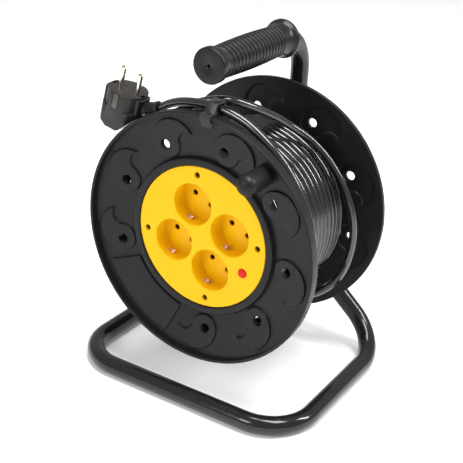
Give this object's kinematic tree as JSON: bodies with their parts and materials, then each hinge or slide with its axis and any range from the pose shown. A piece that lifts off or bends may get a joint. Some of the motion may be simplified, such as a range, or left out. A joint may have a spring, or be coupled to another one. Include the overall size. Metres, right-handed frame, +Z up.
{
  "type": "extension cord reel",
  "caption": "Free-standing mains cord reel: socket drum on a bent tube stand with a carrying handle, crank knob, wound cord and parked plug.",
  "frame": {"origin": "on the floor, under the middle of the reel without its cord", "axes": "+Z up, +X to the right and +Y to the rear as the sockets are faced; the drum turns about Y at 158 mm height"},
  "size_m": [0.2578, 0.2298, 0.3357],
  "materials": {
    "painted_tube": "smooth gloss black paint on steel tube",
    "grip_rubber": "matt black rubber, ribbed",
    "zinc_steel": "bright zinc-plated steel",
    "black_plastic": "satin black moulded polypropylene",
    "yellow_plastic": "smooth satin yellow plastic",
    "bush_plastic": "natural nylon",
    "brass_strip": "pressed brass strip",
    "copper_strip": "bright copper-coloured spring strip",
    "grey_plastic": "dark grey moulded plastic",
    "cord_sheath": "glossy black PVC sheath",
    "core_brown": "brown core insulation",
    "core_blue": "blue core insulation",
    "core_green": "green core insulation, stands in for green with a yellow stripe",
    "clip_plastic": "satin dark grey moulded plastic",
    "plug_plastic": "satin black moulded plastic",
    "pin_metal": "bright nickel-plated brass pins",
    "button_red": "glossy red plastic"
  },
  "bodies": {
    "stand": {"base_tube": "painted_tube", "upright_tube": "painted_tube", "column_cap": "black_plastic", "handle_grip": "grip_rubber", "axle_bolt": "zinc_steel", "axle_nut": "zinc_steel", "saddle_washers": "zinc_steel", "spacer_sleeve": "zinc_steel", "friction_washer": "bush_plastic", "retaining_washer": "zinc_steel"},
    "drum": {"front_flange": "black_plastic", "rear_flange": "black_plastic", "drum_barrel": "black_plastic", "tie_screws": "zinc_steel", "hub_bushes": "bush_plastic", "socket_face": "yellow_plastic", "well_upper": "yellow_plastic", "well_right": "yellow_plastic", "well_left": "yellow_plastic", "well_lower": "yellow_plastic", "face_screws": "zinc_steel", "contact_carrier": "black_plastic", "carrier_screws": "zinc_steel", "live_strip": "brass_strip", "neutral_strip": "brass_strip", "earth_strip": "copper_strip", "thermal_cutout": "grey_plastic", "button_spring": "zinc_steel", "cord_grommet": "grip_rubber", "inner_lead": "cord_sheath", "cord_clamp": "grey_plastic", "clamp_screws": "zinc_steel", "live_wire": "core_brown", "neutral_wire": "core_blue", "earth_wire": "core_green", "cord_clip": "clip_plastic", "crank_pin": "zinc_steel", "cord_winding": "cord_sheath", "cord_tail": "cord_sheath", "plug_body": "plug_plastic", "plug_pins": "pin_metal", "plug_earth_contacts": "brass_strip", "plug_boot": "plug_plastic"},
    "knob": {"crank_knob": "black_plastic"},
    "button": {"reset_button": "button_red"}
  },
  "joints": [
    {"name": "drum_spin", "type": "hinge", "parent": "stand", "child": "drum", "pos_m": [0, 0, 0.158], "axis": [0, 1, 0], "continuous": true, "deforming": ["cord_tail", "plug_body", "plug_pins", "plug_earth_contacts", "plug_boot"]},
    {"name": "knob_spin", "type": "hinge", "parent": "drum", "child": "knob", "pos_m": [0.06419, -0.08453, 0.23727], "axis": [0, 1, 0], "continuous": true},
    {"name": "reset_press", "type": "slide", "parent": "drum", "child": "button", "axis": [0, 1, 0], "range_m": [0, 0.002], "stiffness_N_per_m": 1500, "springref_m": -0.0015, "deforming": ["button_spring"]}
  ]
}
